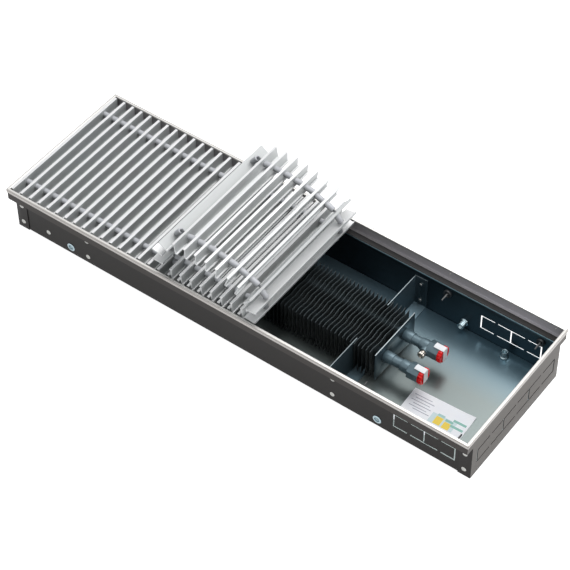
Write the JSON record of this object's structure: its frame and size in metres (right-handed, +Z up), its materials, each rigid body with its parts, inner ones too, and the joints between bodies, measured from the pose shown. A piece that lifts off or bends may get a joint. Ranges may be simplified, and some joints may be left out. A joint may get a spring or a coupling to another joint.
{
  "type": "trench convector heater",
  "caption": "Floor-trench convector: sheet-steel trough with edging, finned water heat exchanger, capped pipe ends, bleed valve and a roll-up bar grille rolled partly back.",
  "frame": {"origin": "centre of the box's footprint on the surface that it stands on", "axes": "+X along the trough from the covered end to the connection end, +Y to the back wall, +Z up"},
  "size_m": [0.8, 0.25, 0.1585],
  "materials": {
    "dark_steel": "satin dark graphite coat",
    "grey_steel": "satin blue-grey coat",
    "plate_steel": "satin blue-grey coat",
    "fin_metal": "satin black coat on aluminium",
    "tube_metal": "satin coat on copper",
    "fitting_metal": "satin blue-grey coat on brass",
    "nickel_metal": "nickel plated brass",
    "red_plastic": "glossy red polyethylene",
    "white_paper": "matt white paper tape",
    "card_paper": "coated white card",
    "zinc_metal": "bright zinc plate",
    "rivet_metal": "plain steel and aluminium",
    "edging_metal": "natural anodised",
    "bar_metal": "natural anodised, fine drawn",
    "spacer_plastic": "light grey sleeve",
    "cord_metal": "steel cord",
    "strip_rubber": "black foam rubber",
    "black_plastic": "black"
  },
  "bodies": {
    "tray": {"trough": "dark_steel", "end_panel_left": "dark_steel", "end_panel_right": "dark_steel", "end_panel_rivets": "rivet_metal", "edging_front": "edging_metal", "edging_back": "edging_metal", "edging_left": "edging_metal", "edging_right": "edging_metal", "damping_strips": "strip_rubber", "saddle_bracket_left": "grey_steel", "saddle_bracket_right": "grey_steel", "bracket_rivets": "rivet_metal", "fin_pack": "fin_metal", "exchanger_plate_left": "plate_steel", "exchanger_plate_right": "plate_steel", "water_tubes": "tube_metal", "return_bend": "tube_metal", "tube_sleeves": "fitting_metal", "fitting_front": "fitting_metal", "valve_tee_rear": "fitting_metal", "bleed_valve_body": "nickel_metal", "wall_rivet_nuts": "zinc_metal", "floor_rivet_nuts": "zinc_metal", "stud_bushes": "black_plastic", "studs": "rivet_metal", "edging_screws": "rivet_metal", "instruction_card": "card_paper"},
    "grille": {"flat_bars": "bar_metal", "flat_spacers": "spacer_plastic", "flat_cords": "cord_metal"},
    "fold_link_1": {"fold_bar_1": "bar_metal", "fold_spacers_1": "spacer_plastic", "fold_cords_1": "cord_metal"},
    "fold_link_2": {"fold_bar_2": "bar_metal", "fold_spacers_2": "spacer_plastic", "fold_cords_2": "cord_metal"},
    "fold_link_3": {"fold_bar_3": "bar_metal", "fold_spacers_3": "spacer_plastic", "fold_cords_3": "cord_metal"},
    "roll": {"top_bars": "bar_metal", "top_spacers": "spacer_plastic", "top_cords": "cord_metal", "left_fold_bars": "bar_metal", "left_fold_spacers": "spacer_plastic", "left_fold_cords": "cord_metal"},
    "inner_flap": {"inner_bars": "bar_metal", "inner_spacers": "spacer_plastic", "inner_cords": "cord_metal"},
    "bleed_screw": {"bleed_screw": "nickel_metal"},
    "cap_front": {"cap_front": "red_plastic", "cap_tape_front": "white_paper"},
    "cap_rear": {"cap_rear": "red_plastic", "cap_tape_rear": "white_paper"}
  },
  "joints": [
    {"name": "grille_lift", "type": "slide", "parent": "tray", "child": "grille", "axis": [0, 0, 1], "range_m": [0, 0.1]},
    {"name": "fold_1", "type": "hinge", "parent": "grille", "child": "fold_link_1", "pos_m": [0.03486, 0, 0.08012], "axis": [0, 1, 0], "range_deg": [0, 75.5]},
    {"name": "fold_2", "type": "hinge", "parent": "fold_link_1", "child": "fold_link_2", "pos_m": [0.03959, 0, 0.09514], "axis": [0, 1, 0], "range_deg": [0, 13.51]},
    {"name": "fold_3", "type": "hinge", "parent": "fold_link_2", "child": "fold_link_3", "pos_m": [0.04127, 0, 0.11233], "axis": [0, 1, 0], "range_deg": [0, 38.01]},
    {"name": "fold_4", "type": "hinge", "parent": "fold_link_3", "child": "roll", "pos_m": [0.02722, 0, 0.12775], "axis": [0, 1, 0], "range_deg": [0, 21.01]},
    {"name": "inner_flap_lift", "type": "hinge", "parent": "roll", "child": "inner_flap", "pos_m": [-0.12147, 0, 0.10042], "axis": [0, -1, 0], "range_deg": [0, 5]},
    {"name": "bleed_turn", "type": "hinge", "parent": "tray", "child": "bleed_screw", "pos_m": [0.2405, 0.007, 0.0345], "axis": [0, -1, 0], "range_deg": [0, 360]},
    {"name": "cap_front_pull", "type": "slide", "parent": "tray", "child": "cap_front", "axis": [1, 0, 0], "range_m": [0, 0.03]},
    {"name": "cap_rear_pull", "type": "slide", "parent": "tray", "child": "cap_rear", "axis": [1, 0, 0], "range_m": [0, 0.03]}
  ],
  "couplings": [
    {"joint": "fold_2", "follows": "fold_1", "ratio": 0.17881},
    {"joint": "fold_3", "follows": "fold_1", "ratio": 0.50331},
    {"joint": "fold_4", "follows": "fold_1", "ratio": 0.27815}
  ]
}
